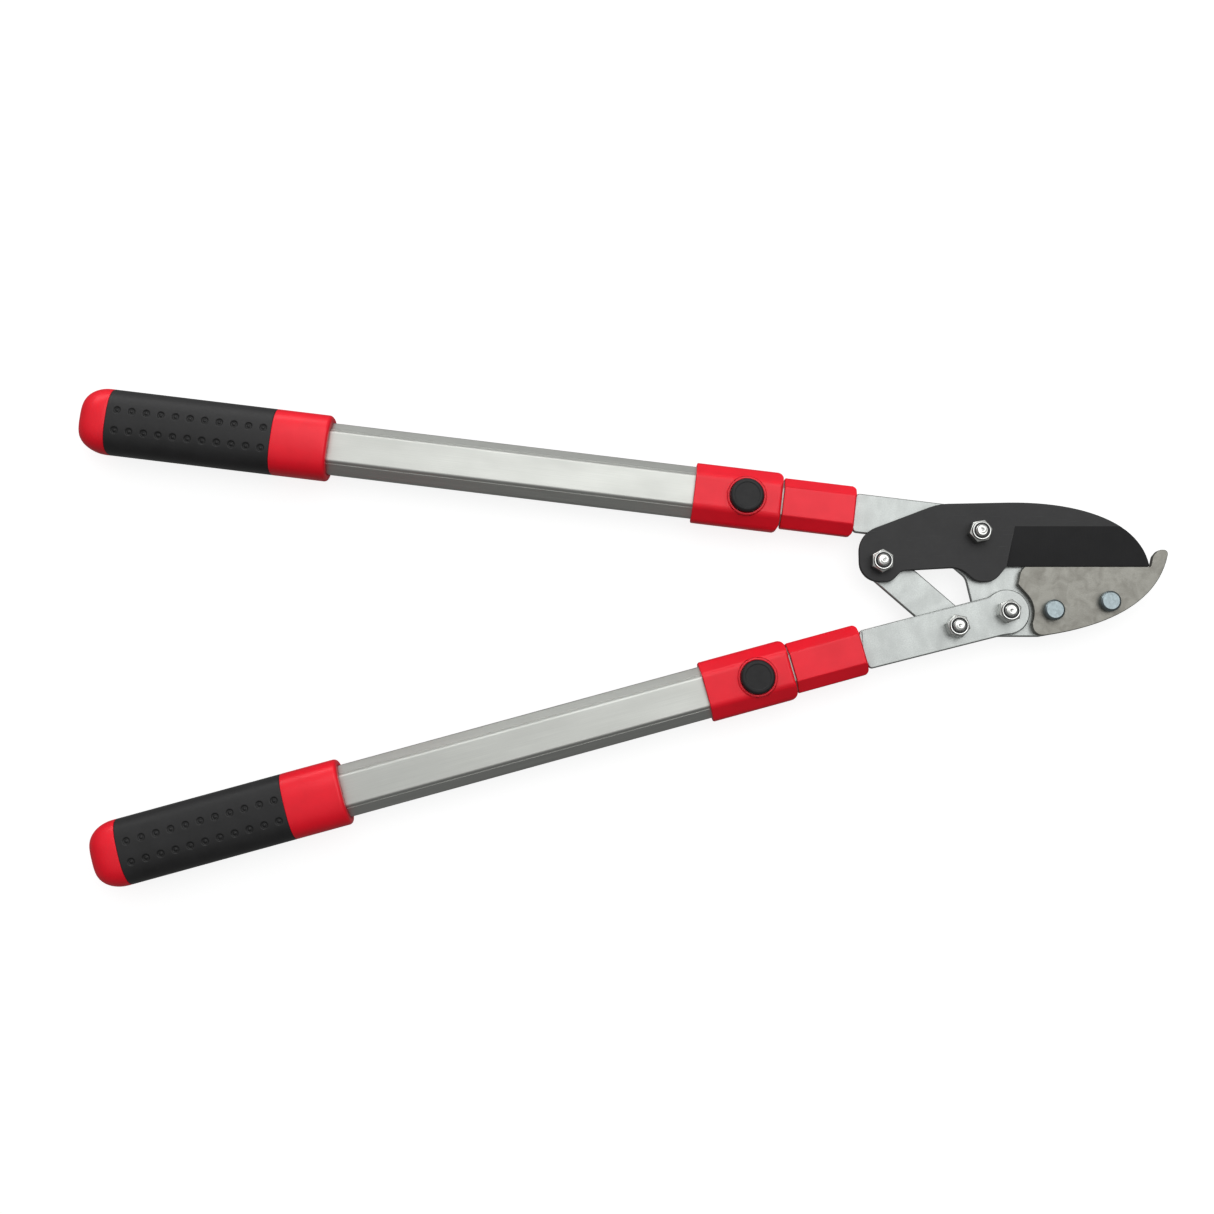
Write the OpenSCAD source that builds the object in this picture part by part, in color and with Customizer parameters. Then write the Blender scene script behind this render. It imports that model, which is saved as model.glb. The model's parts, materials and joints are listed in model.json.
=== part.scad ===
// Compound-action anvil loppers with telescopic handles, closed and collapsed, lying flat.
// Head and handles are laid out round the main pivot, in the mid-plane of the handles, and the
// whole tool is then moved so that its origin is under the middle of its box.

/* [Handles] */
// Direction of the upper handle, from the head to its grip, in degrees
upper_angle = 173.0; // [171:0.5:175]
// Direction of the lower handle with the blade closed, in degrees
lower_angle = 195.3; // [194:0.1:197]
// Distance along the upper handle from the main pivot to the collar
upper_reach = 127; // [125:0.5:130]
// Distance along the lower handle from the handle pivot to the collar
lower_reach = 142.2; // [141:0.1:146]
// How far each handle extends
travel = 300; // [240:60:300]
// Distance between two keyholes of the lock
keyhole_pitch = 60; // [60:60:60]

/* [Tubes] */
// Width of the outer tube
tube_w = 33; // [32:0.5:34]
// Thickness of the outer tube, top to bottom
tube_t = 20; // [19:0.5:21]
// Width of the flat on top of the outer tube
tube_flat = 18.6; // [17:0.2:20]
// Wall of both tubes
wall = 1.4; // [1.2:0.1:1.6]
// Gap between the two tubes, filled by the bush and the collar's lip
tube_gap = 0.9; // [0.7:0.1:1.1]
// Length of the outer tube
outer_len = 423; // [420:1:425]
// Length of the inner tube behind the front of the collar
inner_len = 385; // [370:5:390]

/* [Plastic parts] */
// Length of the collar that carries the button
collar_len = 55.6; // [50:0.2:60]
// Wall of the collar
collar_wall = 2.7; // [2.4:0.1:3]
// Length of the ferrule on the front of the inner tube
ferrule_len = 46; // [44:0.5:48]
// Gap between the ferrule and the collar
ferrule_gap = 1.2; // [0.8:0.1:2]
// Diameter of the lock button
button_d = 21.2; // [20:0.1:22]
// How far the button goes in
button_travel = 2.6; // [2:0.1:2.6]
// Distance from the front of the collar to the button
button_x = 22.4; // [21:0.1:24]

/* [Grips] */
// Width of the grip
grip_w = 42; // [40:0.5:44]
// Thickness of the grip
grip_t = 33; // [32:0.5:35]
// Distance from the front of the collar to the grip
grip_x = 290.2; // [285:0.2:295]
// Length of the red ring at the front of the grip
ring_len = 35.8; // [34:0.2:40]
// Length of the rubber sleeve
sleeve_len = 105.6; // [100:0.2:110]
// Length of the domed end
cap_len = 20.4; // [19:0.2:22]
// Thickness of the rubber sleeve
sleeve_t = 2.5; // [2:0.1:3]
// Dimples in each row
dimples = 11; // [9:1:11]

/* [Head] */
// Thickness of the blade, the link and the handle plates
plate_t = 4; // [3.5:0.1:4]
// Gap between the two layers of plates
layer_gap = 0.5; // [0.5:0.1:0.7]
// Thickness of the anvil
anvil_t = 4.75; // [4.5:0.05:5]
// Diameter of the four pivot bolts
bolt_d = 8; // [7.8:0.1:8]
// Gap between the cutting edge and the anvil
edge_gap = 0.25; // [0.2:0.05:0.4]

/* [Hidden] */

$fn = 64;
red = [0.86, 0.08, 0.13];
black = [0.12, 0.12, 0.13];
silver = [0.84, 0.85, 0.83];
plate_grey = [0.76, 0.78, 0.77];
zinc = [0.80, 0.82, 0.80];

// Pivots, from the main pivot
main_pivot = [0, 0];
tail_pivot = [-62.3, -18.8];
link_pivot = [-15.6, -60.1];
handle_pivot = [17, -50.7];
rivet_spots = [[45.8, -49.7], [81.3, -44.2]];

// Nearest points of the two handle axes to the pivots that they turn or stand on
upper_foot = [0.5, 4.1];
lower_foot = [16.6, -49.1];

// The middle of the plates' two layers is the middle of the handles
back_top = -layer_gap / 2;
back_z = back_top - plate_t;
front_z = layer_gap / 2;
front_top = front_z + plate_t;
fit = 0.05;             // clearance of running fits and seats
slide_gap = 0.3;        // clearance round a part that slides
hole_r = bolt_d / 2 + fit;
edge_y = -21.6;         // the cutting edge, and the anvil's face just under it
anvil_y = edge_y - edge_gap;

// The bolt at the tail rides on the blade, in a hole of the link that is wider than the bolt
// and set off from it, because the four pivots' true paths only nearly keep constant ratios
tail_hole_r = 5.2;
tail_hole_offset = [0.79, 0.73];

// Section of each tube as an inset from the outer tube's surface
inner_inset = wall + tube_gap;
tube_side = 6;          // height of the outer tube's upright side
tang_w = 18;
tang_len = 41.6;
insert_len = 39;
boss_r = 12.5;          // round seat of the button on the collar
boss_top = tube_t / 2 + collar_wall + 0.6;
button_z = tube_t / 2 + button_travel + slide_gap;    // lower edge of the button's skirt
button_top = button_z + 4.4;
pocket_r = button_d / 2 + 0.2;
stem_r = 2.5;
disc_r = 5;
disc_top = tube_t / 2 - inner_inset - wall - 0.2;
spring_room = 5.5;      // height of the button's hollow over the tube
grip_end = grip_x + ring_len + sleeve_len + cap_len;
dome_len = 18;          // how far the domed end's rounding reaches along the grip
dome_inset = 14.5;      // and across it
hook_x = 119.93;        // the anvil's hook is the tool's front end

// How far a grip reaches in direction u, for the origin under the middle of the tool's box
function grip_far(foot, angle, reach, u) =
    let (a = u * [cos(angle), sin(angle)], b = abs(u * [-sin(angle), cos(angle)]))
    foot * u + (reach + grip_end - dome_len) * a + (grip_w / 2 - dome_inset) * b
    + norm([dome_len * a, dome_inset * b]);
x_low = -grip_far(upper_foot, upper_angle, upper_reach, [-1, 0]);
y_low = -grip_far(lower_foot, lower_angle, lower_reach, [0, -1]);
y_high = grip_far(upper_foot, upper_angle, upper_reach, [0, 1]);
origin_shift = [-(x_low + hook_x) / 2, -(y_low + y_high) / 2, grip_t / 2];

// ---- outlines ----

function unit(v) = v / norm(v);

function arc(c, r, a0, a1, n) =
    [for (i = [0:n]) c + r * [cos(a0 + (a1 - a0) * i / n), sin(a0 + (a1 - a0) * i / n)]];

// Points of the corner b between a and c, rounded with radius r
function corner(a, b, c, r) =
    r == 0 ? [b] :
    let (u = unit(a - b), v = unit(c - b), half = acos(u * v) / 2)
    let (m = b + unit(u + v) * r / sin(half), s = b + u * r / tan(half), e = b + v * r / tan(half))
    let (a0 = atan2(s.y - m.y, s.x - m.x), turn = atan2(e.y - m.y, e.x - m.x) - a0)
    let (sweep = turn > 180 ? turn - 360 : turn < -180 ? turn + 360 : turn)
    arc(m, r, a0, a0 + sweep, max(2, ceil(abs(sweep) / 8)));

// Closed outline through corners given as [x, y, radius]
function rounded(p) =
    let (n = len(p), xy = [for (q = p) [q.x, q.y]])
    [for (i = [0:n - 1]) each corner(xy[(i + n - 1) % n], xy[i], xy[(i + 1) % n], p[i].z)];

// Sharp corners [x, y, 0] along a cubic curve
function curve(p0, p1, p2, p3, n = 24) =
    [for (i = [0:n]) let (t = i / n, s = 1 - t)
        let (q = s * s * s * p0 + 3 * s * s * t * p1 + 3 * s * t * t * p2 + t * t * t * p3)
        [q.x, q.y, 0]];

// A place given along and across a handle's axis, from its foot, with a corner radius
function beside(foot, angle, s, t, r) =
    [foot.x + s * cos(angle) - t * sin(angle), foot.y + s * sin(angle) + t * cos(angle), r];

// Eight-sided section: flat top and bottom, sloping shoulders, upright sides, rounded corners
module section(inset, corner_r = 0) {
    w = tube_w / 2 - inset;
    t = tube_t / 2 - inset;
    f = tube_flat / 2 - 0.414 * inset;
    h = tube_side / 2 - 0.414 * inset;
    r = corner_r > 0 ? corner_r : max(0.8, 2 - 0.5 * inset);
    polygon(rounded([[f, -t, r], [w, -h, r], [w, h, r], [f, t, r],
        [-f, t, r], [-w, h, r], [-w, -h, r], [-f, -t, r]]));
}

// Rounded section of the grip
function grip_outline(inset) =
    let (w = grip_w / 2 - inset, t = grip_t / 2 - inset, r = max(1, 13.5 - inset))
    rounded([[w, -t, r], [w, t, r], [-w, t, r], [-w, -t, r]]);

// ---- places ----

module on_upper() {
    translate([upper_foot.x, upper_foot.y, 0]) rotate(upper_angle) translate([upper_reach, 0, 0])
        children();
}

module on_lower() {
    translate([lower_foot.x, lower_foot.y, 0]) rotate(lower_angle) translate([lower_reach, 0, 0])
        children();
}

module at(p) {
    translate([p.x, p.y, 0]) children();
}

// Extrudes a section along the handle, from x0 to x1
module along(x0, x1) {
    translate([x0, 0, 0]) rotate([90, 0, 90]) linear_extrude(x1 - x0) children();
}

// Plate between two heights
module slab(z0, z1) {
    translate([0, 0, z0]) linear_extrude(z1 - z0) children();
}

module pivot_hole(p, r = hole_r) {
    at(p) cylinder(r = r, h = 60, center = true);
}

// ---- head ----

// Steel plate of the upper handle, which also carries the anvil
module frame_plate() {
    shoulder = upper_reach - ferrule_gap - ferrule_len - 0.4;
    end = shoulder + tang_len;
    arm = 12.6;
    outline = concat(
        [[-2.6, -65.9, 13]],
        curve([38, -65.9], [56, -63], [78, -55.5], [92, -47], 10),
        [[97.5, -40, 7], [94, -27.5, 5], [40, -27.5, 5], [33, -22.5, 4], [20, -6, 12],
            [15.5, 15, 13],
            beside(upper_foot, upper_angle, shoulder, -arm, 3),
            beside(upper_foot, upper_angle, shoulder, -tang_w / 2, 0),
            beside(upper_foot, upper_angle, end, -tang_w / 2, 2),
            beside(upper_foot, upper_angle, end, tang_w / 2, 2),
            beside(upper_foot, upper_angle, shoulder, tang_w / 2, 0),
            beside(upper_foot, upper_angle, shoulder, arm, 3),
            [-35.5, -4.3, 15], [-7.8, -28.3, 8], [-4.2, -45, 0]]);
    color(plate_grey) difference() {
        slab(back_z, back_top) polygon(rounded(outline));
        pivot_hole(main_pivot);
        pivot_hole(handle_pivot);
        for (p = rivet_spots) pivot_hole(p, 3);
        on_upper() tang_holes();
    }
}

// Hollow-ground flanks, from the full plate down to the cutting edge
module grind() {
    top_y = 4.1;
    edge_half = 0.25;
    deep_y = edge_y - 2;
    middle = front_z + plate_t / 2;
    slope = (plate_t / 2 - edge_half) / (top_y - edge_y);
    deep = plate_t / 2 - slope * (top_y - deep_y);
    region = [[22.9, top_y], [17, -25], [120, -25], [120, top_y]];
    intersection() {
        slab(front_z - 1, front_top + 1) polygon(region);
        for (side = [-1, 1]) along(10, 125)
            polygon([[top_y, middle + side * plate_t / 2], [top_y, middle + side * plate_t],
                [deep_y, middle + side * plate_t], [deep_y, middle + side * deep]]);
    }
}

// Blade with its tail, to which the link is bolted
module blade() {
    outline = concat(
        [[17.5, edge_y, 1.5], [108.5, edge_y, 1]],
        curve([108.4, -20.3], [103, 5.5], [69.2, 19.9], [20, 19.4], 24),
        [[-25, 18.5, 35], [-76, -0.9, 16], [-75.9, -31.3, 12.4], [-56, -31.3, 7],
            [-48.9, -24.2, 6], [-12.5, -22.2, 14], [-2.2, -31.4, 11], [9.2, -31.4, 11]]);
    color([0.2, 0.2, 0.21]) difference() {
        slab(front_z, front_top) polygon(rounded(outline));
        grind();
        pivot_hole(main_pivot);
        pivot_hole(tail_pivot);
    }
}

// Anvil that the blade closes on, with a hook at its tip that holds the branch
module anvil() {
    relief = [for (p = arc(handle_pivot, 17, 43, -24, 10)) [p.x, p.y, 0]];
    outline = concat(
        [[28.9, anvil_y, 1.2], [26.2, -24.8, 5], [24.2, -33.1, 1.3]],
        relief,
        [[33.2, -65.8, 6]],
        curve([40.5, -65.4], [74.9, -60.7], [112.3, -47.3], [119.9, -14], 24),
        [[119.9, -11, 2.4], [114, -11, 5], [110.4, -15.2, 3], [108.8, anvil_y, 0]]);
    color([0.58, 0.57, 0.54]) difference() {
        slab(back_top, back_top + anvil_t) polygon(rounded(outline));
        for (p = rivet_spots) pivot_hole(p, 3);
    }
}

// Two rivets that hold the anvil on the frame plate, with tall heads in front
module anvil_rivets() {
    top = back_top + anvil_t;
    r = 6.5;
    face_r = 5.3;
    profile = [[0, back_z - 2], [3.4, back_z - 2], [4.5, back_z - 1.1], [4.8, back_z],
        [3, back_z], [3, top], [r, top], [r, top + 4], [face_r, top + 5.2], [0, top + 5.2]];
    color([0.72, 0.76, 0.78]) for (p = rivet_spots) at(p) rotate_extrude() polygon(profile);
}

// Link between the lower handle and the blade's tail
module link() {
    r = 11.2;
    run = link_pivot - tail_pivot;
    turn = atan2(run.y, run.x);
    color(plate_grey) difference() {
        slab(back_z, back_top) polygon(concat(arc(tail_pivot, r, turn + 90, turn + 270, 28),
            arc(link_pivot, r, turn - 90, turn + 90, 28)));
        pivot_hole(link_pivot);
        pivot_hole(tail_pivot + tail_hole_offset, tail_hole_r);
    }
}

// Steel plate of the lower handle
module lower_plate() {
    shoulder = lower_reach - ferrule_gap - ferrule_len - 0.4;
    end = shoulder + tang_len;
    corners = [[4, -11.9, 0], [8, -10.6, 8], [shoulder, -11.6, 3], [shoulder, -tang_w / 2, 0],
        [end, -tang_w / 2, 2], [end, tang_w / 2, 2], [shoulder, tang_w / 2, 0],
        [shoulder, 13.4, 3], [7, 15.1, 20], [0, 15.9, 0]];
    color(plate_grey) difference() {
        union() {
            slab(front_z, front_top) polygon(rounded([for (c = corners)
                beside(lower_foot, lower_angle, c.x, c.y, c.z)]));
            at(handle_pivot) slab(front_z, front_top) circle(14.3);
        }
        pivot_hole(handle_pivot);
        pivot_hole(link_pivot);
        on_lower() tang_holes();
    }
}

// ---- fasteners ----

bolt_head_t = 5.3;
hex_flats = 13;
nut_t = 9.5;
nut_hex_t = 7.6;
ring_r = 5.3;                  // nylon ring in the nut, sunk a little into its hexagon
ring_t = 1.5;
ring_low = nut_hex_t - 0.3;

// Hexagon with its outer corners turned off at one or both ends
module hexagon(t, chamfer_low, chamfer_high) {
    corner_r = hex_flats / sqrt(3);
    face_r = hex_flats / 2 - 0.1;
    low = chamfer_low ? face_r : corner_r;
    high = chamfer_high ? face_r : corner_r;
    intersection() {
        cylinder(r = corner_r, h = t, $fn = 6);
        rotate_extrude() polygon([[0, 0], [low, 0], [corner_r, 0.7], [corner_r, t - 0.7],
            [high, t], [0, t]]);
    }
}

// Bolt with its head behind the plates and a domed tip in front
module bolt(p, turn) {
    r = bolt_d / 2;
    tip = front_top + fit + nut_t + 1.5;
    dome = arc([r - 1.2, tip - 1.2], 1.2, 0, 75, 5);
    color(zinc) at(p) {
        translate([0, 0, back_z - fit - bolt_head_t]) rotate(turn)
            hexagon(bolt_head_t, true, false);
        rotate_extrude() polygon(concat([[0, back_z - fit - bolt_head_t / 2],
            [r, back_z - fit - bolt_head_t / 2]], dome, [[0, tip + 0.35]]));
    }
}

// Lock nut: hexagon with a round collar rolled over its nylon ring
module lock_nut(p, turn) {
    rim = 5.8;
    lip = 4.95;
    color(zinc) at(p) translate([0, 0, front_top + fit]) difference() {
        union() {
            rotate(turn) hexagon(nut_hex_t, true, true);
            rotate_extrude() polygon(concat([[0, 1], [rim, 1]],
                arc([rim - 0.8, nut_t - 0.8], 0.8, 0, 90, 6), [[0, nut_t]]));
        }
        cylinder(r = hole_r, h = 60, center = true);
        translate([0, 0, ring_low]) cylinder(r = ring_r, h = ring_t);
        translate([0, 0, nut_hex_t]) cylinder(r = lip, h = 4);
    }
}

module nut_ring(p) {
    color([0.16, 0.16, 0.17]) at(p) translate([0, 0, front_top + fit + ring_low])
        difference() {
            cylinder(r = ring_r, h = ring_t);
            cylinder(r = bolt_d / 2 + 0.02, h = 9, center = true);
        }
}

module washer(p) {
    t = layer_gap - 2 * fit;
    color([0.7, 0.72, 0.7]) at(p) difference() {
        cylinder(r = 8, h = t, center = true);
        cylinder(r = hole_r, h = 9, center = true);
    }
}

// ---- handle parts, in the handle's own frame: x runs to the grip from the collar's front ----

// Blocks that round a part's corners in the view from above, and in the view from the side
module soft_ends(x0, x1, w, t, front_r, back_r) {
    slab(-t, t) polygon(rounded([[x0, -w / 2, front_r], [x1, -w / 2, back_r],
        [x1, w / 2, back_r], [x0, w / 2, front_r]]));
}

module soft_sides(x0, x1, w, t, front_r, back_r) {
    rotate([90, 0, 0]) linear_extrude(w, center = true) polygon(rounded([[x0, -t / 2, front_r],
        [x1, -t / 2, back_r], [x1, t / 2, back_r], [x0, t / 2, front_r]]));
}

rivet_x = [-32, -16];
tang_rivet_r = 2.5;

module tang_holes() {
    for (x = rivet_x) translate([x, 0, 0]) cylinder(r = tang_rivet_r, h = 60, center = true);
}

// Plastic ferrule over the front of the inner tube, with a slot for the steel tang
module ferrule(plate_z) {
    front = -ferrule_gap - ferrule_len;
    back = -ferrule_gap;
    inset = 0.3;
    w = tube_w - 2 * inset;
    t = tube_t - 2 * inset;
    color(red) difference() {
        intersection() {
            along(front, back) section(inset);
            soft_ends(front, back, w, t, 3, 1);
            soft_sides(front, back, w, t, 1.5, 0.6);
        }
        along(front + 3, back + 1) section(inner_inset - fit);
        translate([front + 1, 0, plate_z + plate_t / 2])
            cube([9, tang_w + 0.4, plate_t + 0.4], center = true);
    }
}

// Plastic block that holds the tang inside the inner tube
module tang_insert(plate_z) {
    front = -ferrule_gap - ferrule_len + 3.05;
    color(black) difference() {
        along(front, front + insert_len) section(inner_inset + wall + fit);
        translate([front + insert_len / 2 - 1, 0, plate_z + plate_t / 2])
            cube([insert_len + 2, tang_w + 0.1, plate_t + 0.1], center = true);
        tang_holes();
    }
}

module tang_rivets() {
    h = tube_t - 2 * inner_inset;
    color(zinc) for (x = rivet_x) translate([x, 0, 0])
        cylinder(r = tang_rivet_r, h = h, center = true);
}

// Inner tube, with a slot and keyholes on top for the lock pin
module inner_tube() {
    front = -ferrule_gap - ferrule_len + 3.05;
    top = tube_t / 2 - inner_inset;
    slot_w = 2 * stem_r + 1;
    color(silver) difference() {
        along(front, inner_len) section(inner_inset);
        along(front - 1, inner_len + 1) section(inner_inset + wall);
        tang_holes();
        translate([button_x, -slot_w / 2, top - wall - 1]) cube([travel, slot_w, wall + 2]);
        for (x = [0:keyhole_pitch:travel]) translate([button_x + x, 0, top - wall - 1])
            cylinder(r = disc_r + 0.3, h = wall + 2);
    }
}

// Plastic bush on the back end of the inner tube, which runs inside the outer tube
module inner_bush() {
    color(black) union() {
        along(inner_len - 12, inner_len) section(inner_inset + wall + fit);
        along(inner_len, inner_len + 4) section(wall + slide_gap);
    }
}

// Outer tube, with a fine groove along each shoulder and a hole for the lock pin
module outer_tube() {
    front = 2;
    groove = 0.7;
    shoulder_x = tube_flat / 2 + 1.6;
    shoulder_z = tube_t / 2 - 1.55;
    color(silver) difference() {
        along(front, front + outer_len) difference() {
            section(0);
            section(wall);
            for (x = [-1, 1], z = [-1, 1]) translate([x * shoulder_x, z * shoulder_z])
                rotate(45) square(groove, center = true);
        }
        translate([button_x, 0, tube_t / 2 - wall - 1]) cylinder(r = disc_r + 0.4, h = wall + 2);
    }
}

// Collar over the front of the outer tube, with the round seat of the button
module collar() {
    w = tube_w + 2 * collar_wall;
    t = tube_t + 2 * collar_wall;
    seat_low = tube_t / 2 - 4;
    color(red) difference() {
        union() {
            intersection() {
                along(0, collar_len) section(-collar_wall, 6);
                soft_ends(0, collar_len, w, t, 4.5, 1.2);
                soft_sides(0, collar_len, w, t, 2.5, 0.6);
            }
            translate([button_x, 0, 0]) rotate_extrude() polygon([[0, seat_low],
                [boss_r, seat_low], [boss_r, boss_top - 0.4], [boss_r - 0.4, boss_top],
                [0, boss_top]]);
        }
        along(2 - fit, collar_len + 1) section(-fit);
        along(-1, 3) section(inner_inset - slide_gap);
        translate([button_x, 0, tube_t / 2 - 0.1]) cylinder(r = pocket_r, h = 9);
    }
}

// Button cap, hollow underneath for its spring, with a socket for the lock pin
module button() {
    r = button_d / 2;
    roof = tube_t / 2 + spring_room + 0.1;
    color(black) translate([button_x, 0, 0]) rotate_extrude() polygon(concat(
        [[stem_r, button_z], [4, button_z], [4, roof], [r - 1.8, roof], [r - 1.8, button_z]],
        [[r, button_z], [r, button_top - 1.9]],
        arc([r - 1.9, button_top - 1.9], 1.9, 15, 75, 5),
        [[8.2, button_top], [7.8, button_top - 0.3], [0, button_top - 0.3],
            [0, roof], [stem_r, roof]]));
}

// Stepped lock pin: a thin stem through the slot and a disc that fills a keyhole
module lock_pin() {
    top = tube_t / 2 + spring_room + 0.1;
    color(zinc) translate([button_x, 0, 0]) rotate_extrude() polygon([[0, disc_top - 2],
        [disc_r - 0.4, disc_top - 2], [disc_r, disc_top - 1.6], [disc_r, disc_top],
        [stem_r, disc_top], [stem_r, top], [0, top]]);
}

// Coil spring under the button, swept as a tube of eight sides
module button_spring() {
    wire = 0.45;
    coil_r = 7;
    turns = 2.75;
    rings = 40;
    sides = 8;
    z0 = tube_t / 2 + 0.05 + wire;
    rise = spring_room - 2 * wire;
    points = [for (i = [0:rings]) let (a = 360 * turns * i / rings)
        for (j = [0:sides - 1]) let (b = 360 * j / sides, q = coil_r + wire * cos(b))
            [q * cos(a), q * sin(a), z0 + rise * i / rings + wire * sin(b)]];
    skin = [for (i = [0:rings - 1]) for (j = [0:sides - 1])
        let (k = (j + 1) % sides, m = i * sides)
            [m + j, m + sides + j, m + sides + k, m + k]];
    first = [for (j = [0:sides - 1]) j];
    last = [for (j = [sides - 1:-1:0]) rings * sides + j];
    color(silver) translate([button_x, 0, 0])
        polyhedron(points, concat([first], skin, [last]), convexity = 6);
}

// Solid through a row of grip sections, each given as [x, inset]
module grip_loft(stations) {
    rings = [for (s = stations) [for (p = grip_outline(s[1])) [s[0], p.x, p.y]]];
    n = len(rings[0]);
    last = len(rings) - 1;
    walls = [for (i = [0:last - 1]) for (j = [0:n - 1]) let (k = (j + 1) % n)
        [i * n + j, i * n + k, (i + 1) * n + k, (i + 1) * n + j]];
    polyhedron([for (r = rings) each r], concat([[for (j = [n - 1:-1:0]) j]], walls,
        [[for (j = [0:n - 1]) last * n + j]]), convexity = 8);
}

// Moulded grip: a ring at the front, a thinner barrel under the sleeve and a domed end
module grip_core() {
    sleeve_x = grip_x + ring_len;
    cap_x = sleeve_x + sleeve_len;
    dome_x = grip_end - dome_len;
    lip = 3;
    front = [for (a = [0:30:90]) [grip_x + lip * (1 - cos(a)), lip * (1 - sin(a))]];
    dome = [for (a = [0:10:90]) [dome_x + dome_len * sin(a), dome_inset * (1 - cos(a))]];
    color(red) difference() {
        grip_loft(concat(front, [[sleeve_x, 0], [sleeve_x, sleeve_t], [cap_x, sleeve_t],
            [cap_x, 0]], dome));
        along(grip_x - 1, 2 + outer_len + fit) section(-fit);
    }
}

// Rubber sleeve with two rows of dimples above and two below, each with a nub in its middle
module grip_sleeve() {
    x0 = grip_x + ring_len + fit;
    first = 5.2;
    pitch = 9.35;
    row = 6.5;
    cutter_r = 4;
    depth = 0.8;
    color(black) difference() {
        along(x0, x0 + sleeve_len - 2 * fit) difference() {
            polygon(grip_outline(0));
            polygon(grip_outline(sleeve_t - fit));
        }
        for (i = [0:dimples - 1], y = [-row, row], side = [-1, 1])
            translate([x0 + first + pitch * i, y, side * (grip_t / 2 - depth)]) difference() {
                translate([0, 0, side * cutter_r]) sphere(r = cutter_r, $fn = 24);
                cylinder(r = 0.8, h = 1, center = true, $fn = 16);
            }
    }
}

translate(origin_shift) {
    frame_plate();
    blade();
    anvil();
    anvil_rivets();
    link();
    lower_plate();
    bolt(main_pivot, 12);  // main_bolt
    lock_nut(main_pivot, 10);  // main_nut
    nut_ring(main_pivot);  // main_nut_ring
    washer(main_pivot);  // main_washer
    bolt(tail_pivot, 40);  // tail_bolt
    lock_nut(tail_pivot, 28);  // tail_nut
    nut_ring(tail_pivot);  // tail_nut_ring
    washer(tail_pivot);  // tail_washer
    bolt(link_pivot, 5);  // link_bolt
    lock_nut(link_pivot, 48);  // link_nut
    nut_ring(link_pivot);  // link_nut_ring
    washer(link_pivot);  // link_washer
    bolt(handle_pivot, 25);  // handle_bolt
    lock_nut(handle_pivot, 20);  // handle_nut
    nut_ring(handle_pivot);  // handle_nut_ring
    washer(handle_pivot);  // handle_washer
    on_upper() ferrule(back_z);  // upper_ferrule
    on_upper() tang_insert(back_z);  // upper_tang_insert
    on_upper() tang_rivets();  // upper_tang_rivets
    on_upper() inner_tube();  // upper_inner_tube
    on_upper() inner_bush();  // upper_inner_bush
    on_upper() outer_tube();  // upper_outer_tube
    on_upper() collar();  // upper_collar
    on_upper() button();  // upper_button
    on_upper() lock_pin();  // upper_lock_pin
    on_upper() button_spring();  // upper_button_spring
    on_upper() grip_core();  // upper_grip_core
    on_upper() grip_sleeve();  // upper_grip_sleeve
    on_lower() ferrule(front_z);  // lower_ferrule
    on_lower() tang_insert(front_z);  // lower_tang_insert
    on_lower() tang_rivets();  // lower_tang_rivets
    on_lower() inner_tube();  // lower_inner_tube
    on_lower() inner_bush();  // lower_inner_bush
    on_lower() outer_tube();  // lower_outer_tube
    on_lower() collar();  // lower_collar
    on_lower() button();  // lower_button
    on_lower() lock_pin();  // lower_lock_pin
    on_lower() button_spring();  // lower_button_spring
    on_lower() grip_core();  // lower_grip_core
    on_lower() grip_sleeve();  // lower_grip_sleeve
}
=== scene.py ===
"""Looks of the telescopic anvil loppers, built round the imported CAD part, in metres."""

import json
import math

import bmesh
import bpy
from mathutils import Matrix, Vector


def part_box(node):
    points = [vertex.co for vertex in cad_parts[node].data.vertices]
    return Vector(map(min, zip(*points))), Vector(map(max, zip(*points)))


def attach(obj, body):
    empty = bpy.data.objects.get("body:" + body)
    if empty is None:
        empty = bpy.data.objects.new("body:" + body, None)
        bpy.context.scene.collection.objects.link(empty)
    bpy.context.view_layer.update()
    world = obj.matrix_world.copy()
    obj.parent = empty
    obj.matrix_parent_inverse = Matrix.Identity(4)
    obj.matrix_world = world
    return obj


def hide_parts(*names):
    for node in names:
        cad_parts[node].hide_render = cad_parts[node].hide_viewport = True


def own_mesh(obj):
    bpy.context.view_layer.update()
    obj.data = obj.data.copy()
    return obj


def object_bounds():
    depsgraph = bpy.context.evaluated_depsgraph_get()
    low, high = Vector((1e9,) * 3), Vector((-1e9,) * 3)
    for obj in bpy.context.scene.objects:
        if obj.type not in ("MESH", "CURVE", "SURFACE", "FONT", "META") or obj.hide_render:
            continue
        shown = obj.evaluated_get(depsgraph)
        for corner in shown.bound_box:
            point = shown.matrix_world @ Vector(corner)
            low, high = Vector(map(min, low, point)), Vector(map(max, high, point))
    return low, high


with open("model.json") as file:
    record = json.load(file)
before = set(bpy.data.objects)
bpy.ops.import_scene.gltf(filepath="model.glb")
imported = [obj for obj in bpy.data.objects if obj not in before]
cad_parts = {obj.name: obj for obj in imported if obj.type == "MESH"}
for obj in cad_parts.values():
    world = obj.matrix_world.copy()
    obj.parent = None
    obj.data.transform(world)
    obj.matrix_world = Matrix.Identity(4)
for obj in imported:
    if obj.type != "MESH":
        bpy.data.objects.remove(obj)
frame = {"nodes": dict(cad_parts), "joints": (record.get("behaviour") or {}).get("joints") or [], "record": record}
cad_low, cad_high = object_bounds()

MM = 0.001
NODES = frame["nodes"]
JOINTS = {joint["name"]: joint for joint in frame["joints"]}
SIDES = ("upper", "lower")
PIVOTS = ("main", "tail", "link", "handle")


# ---- places, all from the frame ----

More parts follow.
